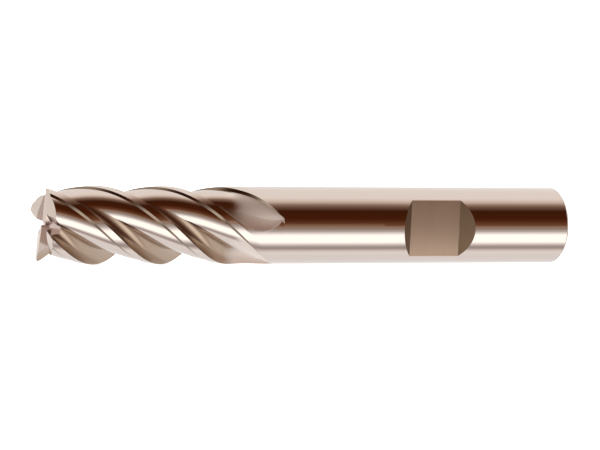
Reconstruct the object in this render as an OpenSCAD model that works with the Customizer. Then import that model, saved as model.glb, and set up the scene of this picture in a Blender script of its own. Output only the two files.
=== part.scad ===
// Four-flute end mill with a cylindrical shank and a Weldon clamping flat, in millimetres.
// The tool lies along X with its cutting end at -X. The origin is on the tool's axis, under the
// middle of the clamping flat, and the flat faces -Y.

/* [Tool] */
// Diameter over the cutting edges
cut_d = 10; // [9.8:0.1:10]
// Diameter of the shank
shank_d = 10; // [10:0.5:11]
// Overall length
tool_l = 72; // [68:1:80]
// Distance from the weld to the middle of the clamping flat
weld_to_flat = 8; // [7:0.5:12]

/* [Flutes] */
// Helix angle, right-hand
helix_angle = 41; // [30:1:45]
// Length over which the flutes have their full depth
flute_l = 22; // [18:1:23]
// Length over which the flutes run out behind that
runout_l = 9; // [7:0.5:9.5]
// Core diameter between the flutes
core_d = 6.1; // [5.8:0.1:6.2]
// Radial rake angle of the cutting edges
rake_angle = 12; // [8:1:14]
// Radius at the bottom of a flute
gullet_r = 1.65; // [1.3:0.05:1.65]
// Radius of the rounded back of a tooth
back_r = 2.5; // [2.4:0.1:3.5]
// Turn of the first cutting edge, at the tip, from the clamping flat
first_edge_angle = 76; // [0:1:89]

/* [Lands] */
// Width of the relieved land behind a cutting edge
land_w = 1.05; // [0.8:0.05:1.2]
// Relief angle of that land
land_relief = 8; // [6:1:12]
// Width of the steeper heel behind the land
heel_w = 0.34; // [0.24:0.02:0.4]
// Angle of that heel
heel_relief = 38; // [30:1:48]

/* [End teeth] */
// Angle by which the end edges fall towards the centre
dish_angle = 1.5; // [1:0.5:3]
// Width of the first relief behind an end edge
end_land_w = 0.8; // [0.6:0.1:1]
// Angle of the first end relief
end_relief = 7; // [5:1:9]
// Angle of the second end relief
end_clearance = 14; // [11:1:20]
// Depth of a gash at the outside of the tool
gash_l = 2.5; // [2:0.1:2.8]
// Depth of a gash at its inner end
gash_in_l = 0.8; // [0.5:0.1:1]
// Width of a gash's floor
gash_floor_w = 0.9; // [0.2:0.1:1.2]
// Opening angle of a gash
gash_angle = 55; // [45:1:60]
// Chamfer on the corners of the teeth
corner_c = 0.12; // [0.08:0.02:0.2]
// Relief angle of those chamfers
corner_relief = 14; // [12:1:18]

/* [Shank] */
// Distance from the middle of the clamping flat to the rear face
flat_to_rear = 19; // [19:0.5:20]
// Length of the clamping flat
flat_l = 7; // [6.5:0.5:8]
// Distance of the clamping flat from the tool's axis
flat_h = 3.4; // [3.2:0.1:4]
// Chamfer on the rear rim
rear_c = 0.4; // [0.2:0.1:1]
// Diameter of the centre hole's pilot in the rear face
centre_d = 1.25; // [1:0.05:1.6]
// Diameter of the centre hole's 60 degree mouth
centre_mouth_d = 2.65; // [2.1:0.05:3.4]
// Depth of the centre hole
centre_l = 3; // [2.5:0.1:4]

/* [Hidden] */

TEETH = 4;
PITCH = 360 / TEETH;
R = cut_d / 2;
TIP_X = flat_to_rear - tool_l;
WELD_X = -weld_to_flat;
HEAD_L = WELD_X - TIP_X;
SHANK_L = flat_to_rear - WELD_X;
LEAD = PI * cut_d / tan(helix_angle);
FLUTE_END = flute_l + runout_l;
FLUTE_DEPTH = R - core_d / 2;
// Length over which the back of a tooth turns hollow at the start of the run-out.
HOLLOW_L = 3;
// Turn from the heel to the point where a flute ends.
RUNOUT_TURN = 5;
// Share of its width that a flute has left where its depth has gone.
LEAST_WIDTH = 0.1;
// The lands lose their relief between these two places.
RELIEF_FADE = [FLUTE_END - 5, FLUTE_END - 2.5];

// Land and heel of a tooth, as turns behind its cutting edge, and the radii where they end.
LAND_A = land_w / R * 180 / PI;
HEEL_A = (land_w + heel_w) / R * 180 / PI;
LAND_R = R - land_w * tan(land_relief);
HEEL_R = LAND_R - heel_w * tan(heel_relief);

// A flute's section is drawn with the edge that follows it on the first axis and the open flute
// on the side of the second. The rake is a line from the edge, the gullet is an arc that touches
// the rake and the core, and the back is an arc that touches the gullet and meets the heel.
RAKE_DIR = [-cos(rake_angle), -sin(rake_angle)];
RAKE_NORMAL = [-sin(rake_angle), cos(rake_angle)];
GULLET_REACH = core_d / 2 + gullet_r;
RAKE_L = R * cos(rake_angle)
    - sqrt(pow(R * cos(rake_angle), 2) - (R * R - 2 * R * gullet_r * sin(rake_angle)
        + gullet_r * gullet_r - GULLET_REACH * GULLET_REACH));
GULLET_C = [R, 0] + RAKE_L * RAKE_DIR + gullet_r * RAKE_NORMAL;
HEEL_P = HEEL_R * [cos(PITCH - HEEL_A), sin(PITCH - HEEL_A)];
HEEL_TO_GULLET = GULLET_C - HEEL_P;
HEEL_DISTANCE = norm(HEEL_TO_GULLET);
BACK_TURN = acos((pow(back_r, 2) + pow(HEEL_DISTANCE, 2) - pow(back_r + gullet_r, 2))
    / (2 * back_r * HEEL_DISTANCE));
BACK_C = HEEL_P + back_r * polar(angle_of(HEEL_TO_GULLET) - BACK_TURN);
BACK_FROM = angle_of(HEEL_P - BACK_C);
BACK_TO = angle_of(GULLET_C - BACK_C);
GULLET_TO = angle_of(-RAKE_NORMAL) + 360;
GULLET_FROM = GULLET_TO - one_turn(GULLET_TO - angle_of(BACK_C - GULLET_C));

// Steps along each stretch of a tooth's section, and steps along the tool.
LAND_STEPS = 8;
HEEL_STEPS = 1;
BACK_STEPS = 5;
GULLET_STEPS = 5;
RAKE_STEPS = 2;
STEP_X = 0.54;

// Two end edges reach past the axis, so that the tool can plunge, and two start at this radius.
LONG_EDGE_PAST_AXIS = 0.35;
SHORT_EDGE_START = 0.9;

// Length by which a cutter stands clear of what it cuts.
CLEAR = 1;

function polar(a) = [cos(a), sin(a)];
function angle_of(p) = atan2(p[1], p[0]);
function one_turn(a) = a - 360 * floor(a / 360);
function mix(a, b, t) = a + (b - a) * t;
function share(value, limits) = max(0, min(1, (value - limits[0]) / (limits[1] - limits[0])));

// Turn of the section at distance x behind the tip. The plain stub behind the flutes isn't twisted.
function twist(x) = 360 * min(x, FLUTE_END) / LEAD;

// How far the run-out has gone at x, and the depth and width that the flute keeps there.
function runout(x) = share(x, [flute_l, FLUTE_END]);
function depth_kept(x) = 1 - pow(runout(x), 2);
function width_kept(x) = max(LEAST_WIDTH, 1 - pow(runout(x), 3));
function relief_kept(x) = 1 - share(x, RELIEF_FADE);

// The back is round along the flute and hollow where the wheel has left its own shape.
function hollow(x) = mix(1, 0.7, share(x, [flute_l, flute_l + HOLLOW_L]));
function flute_depth(r, x) =
    FLUTE_DEPTH * pow(max(0, R - r) / FLUTE_DEPTH, hollow(x)) * depth_kept(x);

// The flute's section from heel to edge, as [turn behind the tooth's own edge, radius].
FLUTE_POINTS = [
    for (i = [1:BACK_STEPS]) BACK_C + back_r * polar(mix(BACK_FROM, BACK_TO, i / BACK_STEPS)),
    for (i = [1:GULLET_STEPS])
        GULLET_C + gullet_r * polar(mix(GULLET_FROM, GULLET_TO, i / GULLET_STEPS)),
    for (i = [1:RAKE_STEPS - 1])
        [R, 0] + RAKE_L * (1 - i / RAKE_STEPS) * RAKE_DIR
];
FLUTE = [for (p = FLUTE_POINTS) [PITCH - angle_of(p), norm(p)]];

// Turn of point i of the flute's section at its full width. The points lie evenly at the weld.
function flute_turn(i, x) =
    mix(FLUTE[i][0], mix(HEEL_A, PITCH, (i + 1) / (len(FLUTE) + 1)), share(x, [FLUTE_END, HEAD_L]));

// One tooth and the flute behind it, at x, as [turn, radius]. The land loses its relief in the
// run-out, and the heel goes down to the flute's wall all the way.
function tooth_section(x) = let(
    end_turn = HEEL_A + RUNOUT_TURN,
    width = width_kept(x),
    from = mix(end_turn, PITCH, width) - PITCH,
    corner = mix(end_turn, LAND_A, width),
    to = mix(end_turn, HEEL_A, width),
    land_end_r = mix(R, LAND_R, relief_kept(x)),
    heel_end_r = R - flute_depth(HEEL_R, x))
    concat(
        [for (i = [0:LAND_STEPS - 1]) let(a = mix(from, corner, i / LAND_STEPS))
            [a, mix(R, land_end_r, share(a, [0, corner]))]],
        [for (i = [0:HEEL_STEPS])
            [mix(corner, to, i / HEEL_STEPS), mix(land_end_r, heel_end_r, i / HEEL_STEPS)]],
        [for (i = [0:len(FLUTE) - 1])
            [mix(end_turn, flute_turn(i, x), width), R - flute_depth(FLUTE[i][1], x)]]);

function section(x) = let(tooth = tooth_section(x)) [
    for (k = [0:TEETH - 1]) for (p = tooth) let(a = p[0] + k * PITCH + twist(x))
        [x, p[1] * cos(a), p[1] * sin(a)]
];

// The fluted bar, from in front of the tip to the plain stub behind the flutes.
module fluted_bar() {
    steps = ceil((FLUTE_END + CLEAR) / STEP_X);
    rings = [
        for (i = [0:steps]) section(mix(-CLEAR, FLUTE_END, i / steps)),
        section(HEAD_L)
    ];
    count = len(rings[0]);
    last = len(rings) - 1;
    points = [for (ring = rings) for (p = ring) p];
    front = [for (j = [0:count - 1]) j];
    back = [for (j = [count - 1:-1:0]) last * count + j];
    sides = [
        for (i = [0:last - 1]) for (j = [0:count - 1])
            let(a = i * count + j, b = i * count + (j + 1) % count)
                each [[a, a + count, b], [b, a + count, b + count]]
    ];
    polyhedron(points, concat([front, back], sides), convexity = 10);
}

// Turns its children to tooth k: the edge runs along Y, and what trails it is on the side of Z.
module at_tooth(k) {
    rotate([k * PITCH, 0, 0]) children();
}

// Distance behind the tip of an end edge at radius y.
function dish(y) = (R - y) * tan(dish_angle);

// Cuts the end down to a plane that falls by angle behind the edge, over z_from to z_to.
module end_plane(z_from, z_to, x_from, angle) {
    reach = R + CLEAR;
    slope = tan(angle);
    cut_between([
        for (y = [0, reach]) for (z = [z_from, z_to])
            each [[-2 * CLEAR, y, z], [dish(y) + x_from + (z - z_from) * slope, y, z]]
    ]);
}

// The convex solid between these corners.
module cut_between(corners) {
    hull() polyhedron(corners, [[for (i = [0:len(corners) - 1]) i]]);
}

// Cuts the notch in front of an end edge. The notch starts at radius y_from.
module gash(y_from) {
    reach = R + CLEAR;
    cut_between([
        for (end = [[y_from, gash_in_l], [reach, gash_l]])
            each [
                [-2 * CLEAR, end[0], 0],
                [end[1], end[0], 0],
                [end[1], end[0], -gash_floor_w],
                [-2 * CLEAR, end[0], -gash_floor_w - (end[1] + 2 * CLEAR) * tan(gash_angle)]
            ]
    ]);
}

// Cuts the flat on the corner of a tooth.
module corner_chamfer() {
    cut_between([
        for (z = [-CLEAR, R / 2]) let(y = R - z * tan(corner_relief))
            each [
                [-CLEAR, y - corner_c - CLEAR, z],
                [corner_c + CLEAR, y + CLEAR, z],
                [-CLEAR, R + 2 * CLEAR, z]
            ]
    ]);
}

module cutting_head() {
    color("rosybrown")
        translate([TIP_X, 0, 0])
            rotate([180 - first_edge_angle, 0, 0])
                difference() {
                    fluted_bar();
                    for (k = [0:TEETH - 1]) at_tooth(k) {
                        end_plane(0, end_land_w, 0, end_relief);
                        end_plane(end_land_w, R + CLEAR, end_land_w * tan(end_relief),
                            end_clearance);
                        gash(k % 2 == 0 ? -LONG_EDGE_PAST_AXIS : SHORT_EDGE_START);
                        corner_chamfer();
                    }
                }
}

module shank() {
    color("tan") difference() {
        translate([WELD_X, 0, 0]) rotate([0, 90, 0]) {
            cylinder(d = shank_d, h = SHANK_L - rear_c, $fn = 128);
            translate([0, 0, SHANK_L - rear_c])
                cylinder(d1 = shank_d, d2 = shank_d - 2 * rear_c, h = rear_c, $fn = 128);
        }
        clamping_flat();
        centre_hole();
    }
}

// The flat's floor with its 45 degree end walls.
module clamping_flat() {
    half = flat_l / 2;
    depth = shank_d / 2 - flat_h + CLEAR;
    linear_extrude(shank_d + 2 * CLEAR, center = true)
        polygon([
            [-half, -flat_h],
            [-half - depth, -flat_h - depth],
            [half + depth, -flat_h - depth],
            [half, -flat_h]
        ]);
}

// The pilot and its 60 degree mouth, in the rear face.
module centre_hole() {
    mouth_l = (centre_mouth_d - centre_d) / 2 / tan(30);
    translate([flat_to_rear - centre_l, 0, 0]) rotate([0, 90, 0]) {
        cylinder(d = centre_d, h = centre_l + CLEAR, $fn = 48);
        translate([0, 0, centre_l - mouth_l])
            cylinder(d1 = centre_d, d2 = centre_mouth_d, h = mouth_l, $fn = 48);
        translate([0, 0, centre_l]) cylinder(d = centre_mouth_d, h = CLEAR, $fn = 48);
    }
}

cutting_head();
shank();
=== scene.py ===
"""A four-flute end mill with a Weldon shank, lying on a white floor.

Everything is in the CAD frame: the tool lies along X with its cutting end at -X, the clamping flat
faces -Y, and +Z is up. Mesh code works in millimetres and is scaled to metres at the end.
"""

import math

import bmesh
import bpy
import numpy as np
from mathutils import Matrix, Vector


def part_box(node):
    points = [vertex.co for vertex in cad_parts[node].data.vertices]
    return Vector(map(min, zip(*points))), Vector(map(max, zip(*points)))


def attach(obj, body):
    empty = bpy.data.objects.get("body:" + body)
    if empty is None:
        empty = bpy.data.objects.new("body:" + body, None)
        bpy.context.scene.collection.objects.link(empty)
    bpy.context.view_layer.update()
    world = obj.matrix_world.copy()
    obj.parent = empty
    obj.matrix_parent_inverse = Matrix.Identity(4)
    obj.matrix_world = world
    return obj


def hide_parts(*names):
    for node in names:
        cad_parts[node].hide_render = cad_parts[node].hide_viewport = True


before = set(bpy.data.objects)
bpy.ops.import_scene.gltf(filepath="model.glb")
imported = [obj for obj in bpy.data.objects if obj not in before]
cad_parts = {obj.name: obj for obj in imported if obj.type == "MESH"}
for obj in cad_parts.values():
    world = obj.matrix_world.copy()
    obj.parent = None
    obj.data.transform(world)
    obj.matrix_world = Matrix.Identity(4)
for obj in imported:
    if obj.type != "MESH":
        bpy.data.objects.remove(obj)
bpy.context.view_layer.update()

MM = 0.001
HEAD_LOW, HEAD_HIGH = (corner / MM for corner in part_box("cutting_head"))
SHANK_LOW, SHANK_HIGH = (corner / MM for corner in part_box("shank"))

TIP_X = HEAD_LOW.x
WELD_X = SHANK_LOW.x
REAR_X = SHANK_HIGH.x
R = HEAD_HIGH.z
SHANK_R = SHANK_HIGH.z

# The flutes and lands, as in the CAD model.
TEETH = 4
PITCH = 2 * math.pi / TEETH
HELIX = math.radians(41)
LEAD = math.pi * 2 * R / math.tan(HELIX)
FLUTE_L = 22
RUNOUT_L = 9
FLUTE_END = FLUTE_L + RUNOUT_L
CORE_R = 3.05
FLUTE_DEPTH = R - CORE_R
RAKE = math.radians(12)
GULLET_R = 1.65
BACK_R = 2.5
FIRST_EDGE = math.radians(76)
LAND_W = 1.05
LAND_RELIEF = math.radians(8)
HEEL_W = 0.34
HEEL_RELIEF = math.radians(38)
HOLLOW = 0.7
HOLLOW_L = 3
RUNOUT_TURN = math.radians(5)
LEAST_WIDTH = 0.1
RELIEF_FADE = (FLUTE_END - 5, FLUTE_END - 2.5)

# The end teeth.
DISH = math.radians(1.5)
END_LAND_W = 0.8
END_RELIEF = math.radians(7)
END_CLEARANCE = math.radians(14)
GASH_L = 2.5
GASH_IN_L = 0.8
GASH_FLOOR_W = 0.9
GASH_ANGLE = math.radians(55)
LONG_EDGE_PAST_AXIS = 0.35
SHORT_EDGE_START = 0.9
CORNER_C = 0.12
CORNER_RELIEF = math.radians(14)
CLEAR = 1
OVERLAP = 0.02

# The shank.
FLAT_L = 7
FLAT_H = 3.4
REAR_C = 0.4
CENTRE_D = 1.25
CENTRE_MOUTH_D = 2.65
CENTRE_L = 3


# ---------------------------------------------------------------- the head's section

def mix(a, b, t):
    return a + (b - a) * t


def share(value, low, high):
    return min(1.0, max(0.0, (value - low) / (high - low)))


def polar(angle):
    return np.array((math.cos(angle), math.sin(angle)))


def angle_of(p):
    return math.atan2(p[1], p[0])


LAND_A = LAND_W / R
HEEL_A = (LAND_W + HEEL_W) / R
LAND_R = R - LAND_W * math.tan(LAND_RELIEF)
HEEL_R = LAND_R - HEEL_W * math.tan(HEEL_RELIEF)


def flute_arcs():
    """The rake line, and the centres and turns of the gullet's and the back's arcs.

    The edge that follows the flute is on the first axis.
    """
    along = -polar(RAKE)
    normal = np.array((-math.sin(RAKE), math.cos(RAKE)))
    reach = CORE_R + GULLET_R
    half = R * math.cos(RAKE)
    edge_to_core = R ** 2 - 2 * R * GULLET_R * math.sin(RAKE) + GULLET_R ** 2 - reach ** 2
    rake_l = half - math.sqrt(half ** 2 - edge_to_core)
    edge = np.array((R, 0.0))
    gullet = edge + rake_l * along + GULLET_R * normal
    heel = HEEL_R * polar(PITCH - HEEL_A)
    gap = gullet - heel
    distance = float(np.linalg.norm(gap))
    opposite = BACK_R + GULLET_R
    turn = math.acos((BACK_R ** 2 + distance ** 2 - opposite ** 2) / (2 * BACK_R * distance))
    back = heel + BACK_R * polar(angle_of(gap) - turn)
    gullet_to = angle_of(-normal) + 2 * math.pi
    gullet_from = gullet_to - (gullet_to - angle_of(back - gullet)) % (2 * math.pi)
    return {
        "edge": edge, "along": along, "rake_l": rake_l,
        "gullet": (gullet, gullet_from, gullet_to),
        "back": (back, angle_of(heel - back), angle_of(gullet - back)),
    }


# Steps along each stretch of the section.
LAND_STEPS = 16
HEEL_STEPS = 4
BACK_STEPS = 18
GULLET_STEPS = 20
RAKE_STEPS = 4


def flute_points():
    """The flute from heel to edge, as (turn behind the tooth's own edge, radius)."""
    arcs = flute_arcs()
    points = []
    for name, radius, steps in (("back", BACK_R, BACK_STEPS), ("gullet", GULLET_R, GULLET_STEPS)):
        centre, start, stop = arcs[name]
        points += [centre + radius * polar(mix(start, stop, i / steps)) for i in range(1, steps + 1)]
    for i in range(1, RAKE_STEPS):
        points.append(arcs["edge"] + arcs["rake_l"] * (1 - i / RAKE_STEPS) * arcs["along"])
    return [(PITCH - angle_of(p), float(np.linalg.norm(p))) for p in points]


FLUTE = flute_points()
STRETCHES = (["land"] * LAND_STEPS + ["heel"] * HEEL_STEPS + ["back"] * BACK_STEPS
             + ["gullet"] * GULLET_STEPS + ["rake"] * RAKE_STEPS)


def tooth(x):
    """One tooth and the flute behind it, at x behind the tip, as (turn, radius)."""
    out = share(x, FLUTE_L, FLUTE_END)
    depth = 1 - out ** 2
    width = max(LEAST_WIDTH, 1 - out ** 3)
    relief = 1 - share(x, *RELIEF_FADE)
    hollow = mix(1, HOLLOW, share(x, FLUTE_L, FLUTE_L + HOLLOW_L))

    def cut_to(r):
        return R - FLUTE_DEPTH * ((R - r) / FLUTE_DEPTH) ** hollow * depth

    end = HEEL_A + RUNOUT_TURN
    start = mix(end, PITCH, width) - PITCH
    corner = mix(end, LAND_A, width)
    stop = mix(end, HEEL_A, width)
    land_end = R - (R - LAND_R) * relief
    points = []
    for i in range(LAND_STEPS):
        a = mix(start, corner, i / LAND_STEPS)
        points.append((a, mix(R, land_end, share(a, 0, corner))))
    for i in range(HEEL_STEPS + 1):
        down = i / HEEL_STEPS
        points.append((mix(corner, stop, down), mix(land_end, cut_to(HEEL_R), down)))
    for a, r in FLUTE:
        points.append((mix(end, a, width), cut_to(r)))
    return points


def head_ring(x):
    twist = 2 * math.pi * min(x, FLUTE_END) / LEAD
    points = tooth(min(x, FLUTE_END))
    turn = np.array([a + k * PITCH + twist for k in range(TEETH) for a, _ in points])
    radius = np.array([r for _ in range(TEETH) for _, r in points])
    return np.column_stack((np.full(len(turn), float(x)), radius * np.cos(turn), radius * np.sin(turn)))


# ---------------------------------------------------------------- mesh helpers

SPUN_STEPS = 256
WELD_DISTANCE = 1e-5


def turned(points, angle):
    """Points turned round the X axis.

    In single precision, the cut head came out with an edge that four faces share.
    """
    x, y, z = np.array(points).T
    c = math.cos(angle)
    s = math.sin(angle)
    return np.column_stack((x, y * c - z * s, y * s + z * c))


def new_object(name, points, faces, slots=None):
    mesh = bpy.data.meshes.new(name)
    mesh.from_pydata([tuple(map(float, p)) for p in points], [], faces)
    if slots is not None:
        mesh.polygons.foreach_set("material_index", slots)
    mesh.update()
    piece = bpy.data.objects.new(name, mesh)
    bpy.context.scene.collection.objects.link(piece)
    return piece


def tube(rings):
    """Faces of a closed tube through equal rings that turn the same way, with a cap at each end."""
    count = len(rings[0])
    faces = [tuple(range(count - 1, -1, -1))]
    for i in range(len(rings) - 1):
        for j in range(count):
            k = (j + 1) % count
            faces.append((i * count + j, i * count + k, (i + 1) * count + k, (i + 1) * count + j))
    faces.append(tuple(range((len(rings) - 1) * count, len(rings) * count)))
    return faces


def hull(name, corners):
    """A convex cutter through these corners."""
    mesh = bpy.data.meshes.new(name)
    bm = bmesh.new()
    for corner in corners:
        bm.verts.new(corner)
    bmesh.ops.convex_hull(bm, input=bm.verts)
    bmesh.ops.recalc_face_normals(bm, faces=bm.faces)
    bm.to_mesh(mesh)
    bm.free()
    piece = bpy.data.objects.new(name, mesh)
    bpy.context.scene.collection.objects.link(piece)
    return piece


def spun(name, profile):
    """A profile of (x, radius), from the axis back to the axis, turned round the X axis."""
    bm = bmesh.new()
    turns = [2 * math.pi * i / SPUN_STEPS for i in range(SPUN_STEPS)]
    rings = []
    for x, r in profile:
        if r == 0:
            rings.append([bm.verts.new((x, 0, 0))])
        else:
            rings.append([bm.verts.new((x, r * math.cos(a), r * math.sin(a))) for a in turns])
    for a, b in zip(rings, rings[1:]):
        for i in range(SPUN_STEPS):
            j = (i + 1) % SPUN_STEPS
            corners = [a[i % len(a)], b[i % len(b)], b[j % len(b)], a[j % len(a)]]
            unique = list(dict.fromkeys(corners))
            if len(unique) > 2:
                bm.faces.new(unique)
    bmesh.ops.recalc_face_normals(bm, faces=bm.faces)
    mesh = bpy.data.meshes.new(name)
    bm.to_mesh(mesh)
    bm.free()
    piece = bpy.data.objects.new(name, mesh)
    bpy.context.scene.collection.objects.link(piece)
    return piece


def set_slot(piece, index, materials):
    """Gives a cutter the material list of what it cuts, and one of its slots on every face."""
    for material in materials:
        piece.data.materials.append(material)
    piece.data.polygons.foreach_set("material_index", [index] * len(piece.data.polygons))


def cut(piece, cutter):
    modifier = piece.modifiers.new("cut", "BOOLEAN")
    modifier.operation = "DIFFERENCE"
    modifier.solver = "MANIFOLD"
    modifier.object = cutter
    apply_modifiers(piece)
    bpy.data.objects.remove(cutter)


def apply_modifiers(piece):
    depsgraph = bpy.context.evaluated_depsgraph_get()
    made = bpy.data.meshes.new_from_object(piece.evaluated_get(depsgraph), depsgraph=depsgraph)
    piece.modifiers.clear()
    piece.data = made


def finish_piece(piece, node, sharp):
    """Scales a piece to metres, marks its sharp edges and puts it in the place of its CAD node."""
    bm = bmesh.new()
    bm.from_mesh(piece.data)
    bmesh.ops.remove_doubles(bm, verts=bm.verts, dist=WELD_DISTANCE)
    bmesh.ops.dissolve_degenerate(bm, edges=bm.edges, dist=WELD_DISTANCE)
    bmesh.ops.scale(bm, vec=(MM, MM, MM), verts=bm.verts)
    bm.to_mesh(piece.data)
    bm.free()
    piece.data.polygons.foreach_set("use_smooth", [True] * len(piece.data.polygons))
    piece.data.set_sharp_from_angle(angle=math.radians(sharp))
    piece.data.update()
    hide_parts(node)
    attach(piece, "root")


# ---------------------------------------------------------------- materials

class Nodes:
    """Short names for building a material's nodes."""

    def __init__(self, name):
        self.material = bpy.data.materials.new(name)
        self.material.use_nodes = True
        self.tree = self.material.node_tree
        self.shader = self.tree.nodes["Principled BSDF"]

    def add(self, kind, **settings):
        node = self.tree.nodes.new(kind)
        for key, value in settings.items():
            setattr(node, key, value)
        return node

    def link(self, source, target):
        self.tree.links.new(source, target)

    def put(self, target, value):
        if isinstance(value, bpy.types.NodeSocket):
            self.link(value, target)
        else:
            target.default_value = value

    def math(self, operation, a, b=0.0, c=0.0, clamp=False):
        node = self.add("ShaderNodeMath", operation=operation, use_clamp=clamp)
        for socket, value in zip(node.inputs, (a, b, c)):
            self.put(socket, value)
        return node.outputs[0]

    def vector(self, operation, a, b=(0, 0, 0)):
        node = self.add("ShaderNodeVectorMath", operation=operation)
        self.put(node.inputs[0], a)
        self.put(node.inputs[1], b)
        return node.outputs[0]

    def noise(self, vector, scale, detail=2.0, roughness=0.5):
        node = self.add("ShaderNodeTexNoise")
        self.link(vector, node.inputs["Vector"])
        node.inputs["Scale"].default_value = scale
        node.inputs["Detail"].default_value = detail
        node.inputs["Roughness"].default_value = roughness
        return node.outputs["Fac"]

    def ramp(self, value, low, high):
        """Takes a value from 0..1 to low..high."""
        node = self.add("ShaderNodeMapRange")
        self.link(value, node.inputs["Value"])
        node.inputs["To Min"].default_value = low
        node.inputs["To Max"].default_value = high
        return node.outputs["Result"]

    def blend(self, value, a, b):
        node = self.add("ShaderNodeMix", data_type="RGBA")
        self.link(value, node.inputs["Factor"])
        self.put(node.inputs["A"], a)
        self.put(node.inputs["B"], b)
        return node.outputs["Result"]


def place(nodes):
    """The surface's place in millimetres, in the CAD frame."""
    coordinates = nodes.add("ShaderNodeTexCoord").outputs["Object"]
    return nodes.vector("MULTIPLY", coordinates, (1 / MM,) * 3)


def untwisted(nodes, position):
    """The place with the helix turned out of it, so that a line along a flute runs straight along X."""
    parts = nodes.add("ShaderNodeSeparateXYZ")
    nodes.link(position, parts.inputs[0])
    rotate = nodes.add("ShaderNodeVectorRotate", rotation_type="X_AXIS")
    nodes.link(position, rotate.inputs["Vector"])
    nodes.put(rotate.inputs["Angle"], nodes.math("MULTIPLY", parts.outputs["X"], 2 * math.pi / LEAD))
    return rotate.outputs["Vector"]


STEEL = (0.66, 0.575, 0.53, 1)
FLAT_STEEL = (0.44, 0.32, 0.24, 1)
# Painted shade: the flat's walls have the flat's grind but this much darker tint.
WALL_PAINTED_SHADE = (0.19, 0.125, 0.08, 1)
END_STEEL = (0.58, 0.485, 0.43, 1)
REAR_STEEL = (0.48, 0.39, 0.335, 1)
GASH_STEEL = (0.58, 0.465, 0.42, 1)
# Painted shade: the gullets and rake faces, deep in the flutes, are tinted darker than the steel.
GULLET_PAINTED_SHADE = (0.445, 0.335, 0.255, 1)
# Painted shade: the heel, the narrow steep strip behind each land, is tinted dark.
HEEL_PAINTED_SHADE = (0.24, 0.185, 0.14, 1)
# Painted light: run-out tints far lighter than the steel, standing in for the light a matt surface scatters;
# their low and high ends are tone variation.
MATT_PAINTED_LIGHT_LOW = (0.80, 0.71, 0.655, 1)
MATT_PAINTED_LIGHT_HIGH = (0.96, 0.895, 0.85, 1)
RUNOUT_MATT_AND_PAINTED_LIGHT = (24, 26.5)
RUNOUT_ROUGHER = 0.65


# Places are in millimetres, so a noise scale is in features per millimetre.
LINE_STRETCH = 0.03
CLOUD_SCALE = 0.35
LINES_SHARE = 0.6


def steel(name, grain, rough, line_scale=9.0, bump=0.0006, tint=STEEL, spread=0.05, runs_out=False):
    """Ground steel. grain says which way the wheel's lines run: 'helix', 'round', 'across' or 'out'.

    rough is the lowest and highest roughness, bump the height of the lines in millimetres, and
    spread the variation of the tint. A surface that runs out turns matt where the wheel leaves
    the flute, and there its tint is lifted to a light grey, which is painted light.
    """
    nodes = Nodes(name)
    position = place(nodes)
    if grain == "helix":
        lines = nodes.vector("MULTIPLY", untwisted(nodes, position), (LINE_STRETCH, 1, 1))
    elif grain == "round":
        lines = nodes.vector("MULTIPLY", position, (1, LINE_STRETCH, LINE_STRETCH))
    elif grain == "across":
        lines = nodes.vector("MULTIPLY", position, (1, 1, LINE_STRETCH))
    else:
        lines = nodes.vector("MULTIPLY", position, (1, LINE_STRETCH, 1))
    fine = nodes.noise(lines, line_scale, detail=4.0, roughness=0.7)
    cloud = nodes.noise(position, CLOUD_SCALE, detail=3.0, roughness=0.6)
    dark = tuple(c * (1 - spread) for c in tint[:3]) + (1,)
    light = tuple(min(1, c * (1 + spread)) for c in tint[:3]) + (1,)
    clouds = nodes.math("MULTIPLY", cloud, 1 - LINES_SHARE)
    shade = nodes.math("MULTIPLY_ADD", fine, LINES_SHARE, clouds)
    colour = nodes.blend(shade, dark, light)
    roughness = nodes.ramp(shade, *rough)
    # Run-out: rougher, and tinted a light matt grey that is painted light on top of the matt finish.
    if runs_out:
        along = nodes.add("ShaderNodeSeparateXYZ")
        nodes.link(position, along.inputs[0])
        fade = nodes.add("ShaderNodeMapRange", interpolation_type="SMOOTHSTEP")
        nodes.link(along.outputs["X"], fade.inputs["Value"])
        fade.inputs["From Min"].default_value = TIP_X + RUNOUT_MATT_AND_PAINTED_LIGHT[0]
        fade.inputs["From Max"].default_value = TIP_X + RUNOUT_MATT_AND_PAINTED_LIGHT[1]
        # This mask turns the run-out matt and paints it lighter, which is painted light.
        matt = fade.outputs["Result"]
        colour = nodes.blend(matt, colour, nodes.blend(shade, MATT_PAINTED_LIGHT_LOW, MATT_PAINTED_LIGHT_HIGH))
        rougher = nodes.math("MULTIPLY", matt, RUNOUT_ROUGHER)
        roughness = nodes.math("ADD", roughness, rougher, clamp=True)
    nodes.put(nodes.shader.inputs["Base Color"], colour)
    nodes.shader.inputs["Metallic"].default_value = 1.0
    nodes.put(nodes.shader.inputs["Roughness"], roughness)
    relief = nodes.add("ShaderNodeBump")
    relief.inputs["Strength"].default_value = 1.0
    relief.inputs["Distance"].default_value = bump * MM
    nodes.link(fine, relief.inputs["Height"])
    nodes.link(relief.outputs["Normal"], nodes.shader.inputs["Normal"])
    return nodes.material


# ---------------------------------------------------------------- the cutting head

# Distance between rings along the flutes, and the rings of the plain stub behind them.
RING_STEP = 0.17
STUB_START = 0.05
STUB_STEPS = 6


def polygon_prism(y_from, y_to, near, far):
    """Corners of a cutter between two sections in (x, z), at y_from and y_to."""
    return [(x, y, z) for y, section in ((y_from, near), (y_to, far)) for x, z in section]


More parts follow.
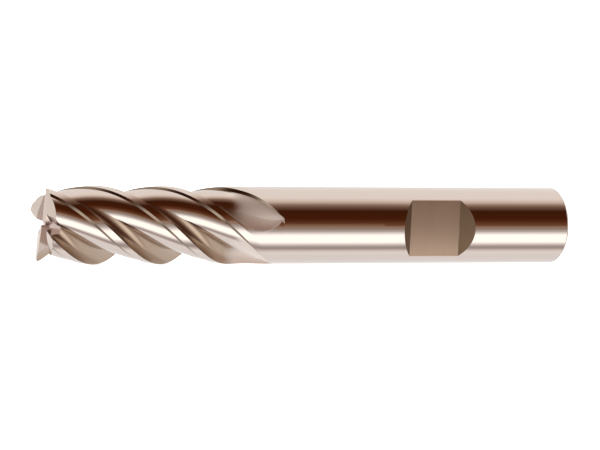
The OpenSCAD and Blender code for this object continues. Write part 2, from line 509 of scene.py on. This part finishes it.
def end_cutters():
    """What the end teeth are ground with: two reliefs, a gash and a corner flat for each tooth."""
    reach = R + CLEAR
    out = -2 * CLEAR

    def dish(y):
        return (R - y) * math.tan(DISH)

    def plane(z_from, z_to, x_from, angle):
        def section(y):
            x = dish(y) + x_from
            slope = math.tan(angle)
            return [(out, z_from - OVERLAP), (x - OVERLAP * slope, z_from - OVERLAP),
                    (out, z_to), (x + (z_to - z_from) * slope, z_to)]
        return polygon_prism(0, reach, section(0), section(reach))

    def gash(y_from):
        def section(depth):
            back = -GASH_FLOOR_W - (depth - out) * math.tan(GASH_ANGLE)
            return [(out, 0), (depth, 0), (depth, -GASH_FLOOR_W), (out, back)]
        return polygon_prism(y_from, reach, section(GASH_IN_L), section(GASH_L))

    corner = []
    for z in (-CLEAR, R / 2):
        y = R - z * math.tan(CORNER_RELIEF)
        corner += [
            (-CLEAR, y - CORNER_C - CLEAR, z),
            (CORNER_C + CLEAR, y + CLEAR, z),
            (-CLEAR, R + 2 * CLEAR, z),
        ]
    land = plane(0, END_LAND_W, 0, END_RELIEF)
    clearance = plane(END_LAND_W, reach, END_LAND_W * math.tan(END_RELIEF), END_CLEARANCE)
    for k in range(TEETH):
        start = -LONG_EDGE_PAST_AXIS if k % 2 == 0 else SHORT_EDGE_START
        cutters = {"relief": land, "clearance": clearance, "gash": gash(start), "corner": corner}
        for kind, corners in cutters.items():
            yield kind, turned(corners, k * PITCH).tolist()


def make_head():
    steps = round((FLUTE_END + CLEAR) / RING_STEP)
    fluted = [mix(-CLEAR, FLUTE_END, i / steps) for i in range(steps + 1)]
    stub = [FLUTE_END + STUB_START]
    stub += [mix(FLUTE_END, WELD_X - TIP_X, i / STUB_STEPS) for i in range(1, STUB_STEPS + 1)]
    rings = [head_ring(x) for x in fluted + stub]
    materials = {
        "land": steel("land_ground", "helix", rough=(0.05, 0.10)),
        # The heel's dark tint is painted shade.
        "heel": steel("heel_ground_painted_shade", "helix", rough=(0.16, 0.26), tint=HEEL_PAINTED_SHADE),
        "back": steel("flute_polished_runout_painted_light", "helix", rough=(0.05, 0.11), runs_out=True),
        # The gullet: a rougher grind, with painted shade in its darker tint.
        "gullet": steel("gullet_ground_painted_shade_and_light", "helix", rough=(0.24, 0.36), bump=0.0015, spread=0.12,
                        tint=GULLET_PAINTED_SHADE, runs_out=True),
        "end": steel("end_ground", "out", rough=(0.10, 0.20), line_scale=12, bump=0.001,
                     tint=END_STEEL),
        "gash": steel("gash_ground", "out", rough=(0.16, 0.26), line_scale=12, bump=0.001,
                      tint=GASH_STEEL),
        "stub": steel("head_ground", "round", rough=(0.05, 0.10)),
    }
    names = list(materials)
    per_ring = [names.index("gullet" if s == "rake" else s) for s in STRETCHES] * TEETH
    slots = [names.index("end")]
    slots += per_ring * (len(fluted) - 1)
    slots += [names.index("stub")] * (len(per_ring) * len(stub))
    slots.append(names.index("stub"))
    head = new_object("head", np.concatenate(rings), tube(rings), slots)
    for material in materials.values():
        head.data.materials.append(material)
    for kind, corners in end_cutters():
        cutter = hull(kind, corners)
        set_slot(cutter, names.index("gash" if kind == "gash" else "end"), materials.values())
        cut(head, cutter)
    co = np.empty(len(head.data.vertices) * 3)
    head.data.vertices.foreach_get("co", co)
    placed = turned(co.reshape(-1, 3), math.pi - FIRST_EDGE)
    placed[:, 0] += TIP_X
    head.data.vertices.foreach_set("co", placed.ravel())
    finish_piece(head, "cutting_head", sharp=28)
    return head


# ---------------------------------------------------------------- the shank

def make_shank():
    materials = {
        "ground": steel("shank_ground", "round", rough=(0.05, 0.10)),
        "flat": steel("flat_ground", "across", rough=(0.28, 0.40), line_scale=5, bump=0.004, spread=0.12,
                      tint=FLAT_STEEL),
        # The walls: the flat's grind with a darker tint, which is painted shade.
        "wall": steel("flat_wall_ground_painted_shade", "across", rough=(0.28, 0.40), line_scale=5, bump=0.004, spread=0.12,
                      tint=WALL_PAINTED_SHADE),
        "rear": steel("rear_turned", "round", rough=(0.2, 0.3), line_scale=8, tint=REAR_STEEL),
    }
    names = list(materials)
    mouth_l = (CENTRE_MOUTH_D - CENTRE_D) / 2 / math.tan(math.radians(30))
    profile = [(WELD_X, 0), (WELD_X, SHANK_R), (REAR_X - REAR_C, SHANK_R), (REAR_X, SHANK_R - REAR_C),
               (REAR_X, CENTRE_MOUTH_D / 2), (REAR_X - mouth_l, CENTRE_D / 2),
               (REAR_X - CENTRE_L, CENTRE_D / 2), (REAR_X - CENTRE_L, 0)]
    shank = spun("shank_body", profile)
    for material in materials.values():
        shank.data.materials.append(material)
    half = FLAT_L / 2
    depth = SHANK_R - FLAT_H + CLEAR
    side = SHANK_R + CLEAR
    section = [
        (-half, -FLAT_H),
        (-half - depth, -FLAT_H - depth),
        (half + depth, -FLAT_H - depth),
        (half, -FLAT_H),
    ]
    cutter = hull("flat_cutter", [(x, y, z) for z in (-side, side) for x, y in section])
    set_slot(cutter, names.index("flat"), materials.values())
    cut(shank, cutter)
    for polygon in shank.data.polygons:
        if polygon.center.x > REAR_X - REAR_C + OVERLAP / 2 and polygon.material_index == 0:
            polygon.material_index = names.index("rear")
        if polygon.material_index == names.index("flat") and abs(polygon.normal.x) > 0.5:
            polygon.material_index = names.index("wall")
    finish_piece(shank, "shank", sharp=20)
    return shank


# ---------------------------------------------------------------- floor, light and camera

# Painted reflection: what the tool mirrors of the floor, as glowing colours over the place along Y in
# millimetres. It holds a painted pool of light in front of the tool, a painted contact shadow as a dark line
# just in front of it, painted shade beneath it, and darker colours far in front.
PAINTED_FLOOR_REFLECTION = [
    (-60, (0.40, 0.30, 0.24)),
    (-26, (0.63, 0.60, 0.58)),
    (-18, (1.2, 1.2, 1.2)),
    (-14, (1.75, 1.75, 1.7)),
    (-8.1, (1.75, 1.75, 1.7)),
    (-7.0, (1.1, 1.1, 1.08)),
    (-6.2, (0.62, 0.58, 0.57)),
    (-5.4, (0.45, 0.38, 0.37)),
    (-4.8, (0.8, 0.75, 0.72)),
    (-4.2, (1.1, 1.08, 1.06)),
    (-3, (1.0, 1.0, 1.0)),
    (5, (1.0, 1.0, 1.0)),
    (20, (1.1, 1.08, 1.05)),
]

# What it mirrors of the surround, as colours over degrees up from the horizon in front.
MIRRORED_CARD = [
    (0, (0.43, 0.30, 0.22)),
    (6, (0.21, 0.09, 0.045)),
    (18, (0.12, 0.035, 0.014)),
    (26, (0.08, 0.018, 0.005)),
    (50, (0.062, 0.016, 0.005)),
    (63, (0.22, 0.13, 0.09)),
    (71, (0.41, 0.29, 0.23)),
    (78, (0.76, 0.62, 0.54)),
    (86, (0.97, 0.87, 0.79)),
    (95, (1.1, 1.05, 1.0)),
    (180, (1.05, 1.05, 1.03)),
]

FLOOR_WHITE = 0.85
FLOOR_GLOW = 0.85
FLOOR_HALF = 6.0


def colour_ramp(tree, value, stops):
    """A colour that follows value through these (place, colour) stops."""
    low = stops[0][0]
    high = stops[-1][0]
    scaled = tree.nodes.new("ShaderNodeMapRange")
    tree.links.new(value, scaled.inputs["Value"])
    scaled.inputs["From Min"].default_value = low
    scaled.inputs["From Max"].default_value = high
    ramp = tree.nodes.new("ShaderNodeValToRGB")
    tree.links.new(scaled.outputs["Result"], ramp.inputs[0])
    elements = ramp.color_ramp.elements
    while len(elements) < len(stops):
        elements.new(0.5)
    for element, (place, colour) in zip(elements, stops):
        element.position = (place - low) / (high - low)
        element.color = (*colour, 1)
    return ramp.outputs["Color"]


def make_floor():
    """A white floor that glows evenly. Mirror rays see a painted reflection instead: a painted pool of light
    like a lit sheet of paper in front, a painted contact shadow and painted shade under the tool, and the
    table beyond.
    """
    nodes = Nodes("floor_white")
    nodes.shader.inputs["Base Color"].default_value = (FLOOR_WHITE, FLOOR_WHITE, FLOOR_WHITE, 1)
    nodes.shader.inputs["Roughness"].default_value = 0.9
    nodes.shader.inputs["Specular IOR Level"].default_value = 0.0
    nodes.shader.inputs["Emission Color"].default_value = (1, 1, 1, 1)
    nodes.shader.inputs["Emission Strength"].default_value = FLOOR_GLOW
    parts = nodes.add("ShaderNodeSeparateXYZ")
    nodes.link(place(nodes), parts.inputs[0])
    # Painted light and shadow, glowing only for mirror rays.
    near = colour_ramp(nodes.tree, parts.outputs["Y"], PAINTED_FLOOR_REFLECTION)
    mirrored = nodes.add("ShaderNodeEmission")
    nodes.link(near, mirrored.inputs["Color"])
    seen = nodes.add("ShaderNodeLightPath")
    either = nodes.add("ShaderNodeMixShader")
    nodes.link(seen.outputs["Is Glossy Ray"], either.inputs[0])
    nodes.link(nodes.shader.outputs[0], either.inputs[1])
    nodes.link(mirrored.outputs[0], either.inputs[2])
    nodes.link(either.outputs[0], nodes.tree.nodes["Material Output"].inputs["Surface"])
    half = FLOOR_HALF
    corners = [(-half, -half, 0), (half, -half, 0), (half, half, 0), (-half, half, 0)]
    floor = new_object("floor", corners, [(0, 1, 2, 3)])
    floor.location.z = -max(R, SHANK_R) * MM
    floor.data.materials.append(nodes.material)


def make_world():
    """A white surround with a long brown card in front, from the horizon to about 65 degrees up."""
    world = bpy.data.worlds.new("studio")
    bpy.context.scene.world = world
    world.use_nodes = True
    tree = world.node_tree
    tree.nodes.clear()

    def add(kind, **settings):
        node = tree.nodes.new(kind)
        for key, value in settings.items():
            setattr(node, key, value)
        return node

    direction = add("ShaderNodeTexCoord").outputs["Generated"]
    parts = add("ShaderNodeSeparateXYZ")
    tree.links.new(direction, parts.inputs[0])
    front = add("ShaderNodeMath", operation="MULTIPLY")
    tree.links.new(parts.outputs["Y"], front.inputs[0])
    front.inputs[1].default_value = -1
    rise = add("ShaderNodeMath", operation="ARCTAN2")
    tree.links.new(parts.outputs["Z"], rise.inputs[0])
    tree.links.new(front.outputs[0], rise.inputs[1])
    around = add("ShaderNodeMath", operation="MULTIPLY")
    tree.links.new(rise.outputs[0], around.inputs[0])
    around.inputs[1].default_value = 180 / math.pi
    colours = colour_ramp(tree, around.outputs[0], MIRRORED_CARD)
    card = add("ShaderNodeBackground")
    tree.links.new(colours, card.inputs["Color"])
    white = add("ShaderNodeBackground")
    white.inputs["Color"].default_value = (1, 1, 1, 1)
    seen = add("ShaderNodeLightPath")
    either = add("ShaderNodeMixShader")
    tree.links.new(seen.outputs["Is Camera Ray"], either.inputs[0])
    tree.links.new(card.outputs[0], either.inputs[1])
    tree.links.new(white.outputs[0], either.inputs[2])
    out = add("ShaderNodeOutputWorld")
    tree.links.new(either.outputs[0], out.inputs[0])


def make_light():
    """A soft light above and in front, which lights the floor and isn't mirrored in the tool."""
    data = bpy.data.lights.new("softbox", "AREA")
    data.shape = "RECTANGLE"
    data.size = 0.9
    data.size_y = 0.5
    data.energy = 14
    light = bpy.data.objects.new("softbox", data)
    bpy.context.scene.collection.objects.link(light)
    light.location = (-0.02, -0.45, 0.75)
    light.rotation_mode = "QUATERNION"
    light.rotation_quaternion = (-Vector(light.location)).to_track_quat("-Z", "Y")
    light.visible_glossy = False
    light.visible_camera = False


def make_camera():
    """The tool is seen from its flat side, turned towards the cutting end and a little from above."""
    distance = 422.7
    yaw = math.radians(22.9)
    rise = math.radians(7.2)
    target = Vector((TIP_X + 35.24, 0, 0))
    back = Vector((-math.sin(yaw), -math.cos(yaw) * math.cos(rise), math.cos(yaw) * math.sin(rise)))
    up = Vector((0, math.sin(rise), math.cos(rise)))
    data = bpy.data.cameras.new("camera")
    data.sensor_width = 36
    data.lens = 195.8
    data.clip_start, data.clip_end = 0.01, 50
    camera = bpy.data.objects.new("camera", data)
    bpy.context.scene.collection.objects.link(camera)
    right = up.cross(back).normalized()
    turn = Matrix((right, back.cross(right), back)).transposed()
    camera.matrix_world = Matrix.Translation((target + back * distance) * MM) @ turn.to_4x4()
    bpy.context.scene.camera = camera


make_camera()
make_head()
make_shank()
make_floor()
make_world()
make_light()
bpy.context.scene.view_settings.view_transform = "Standard"
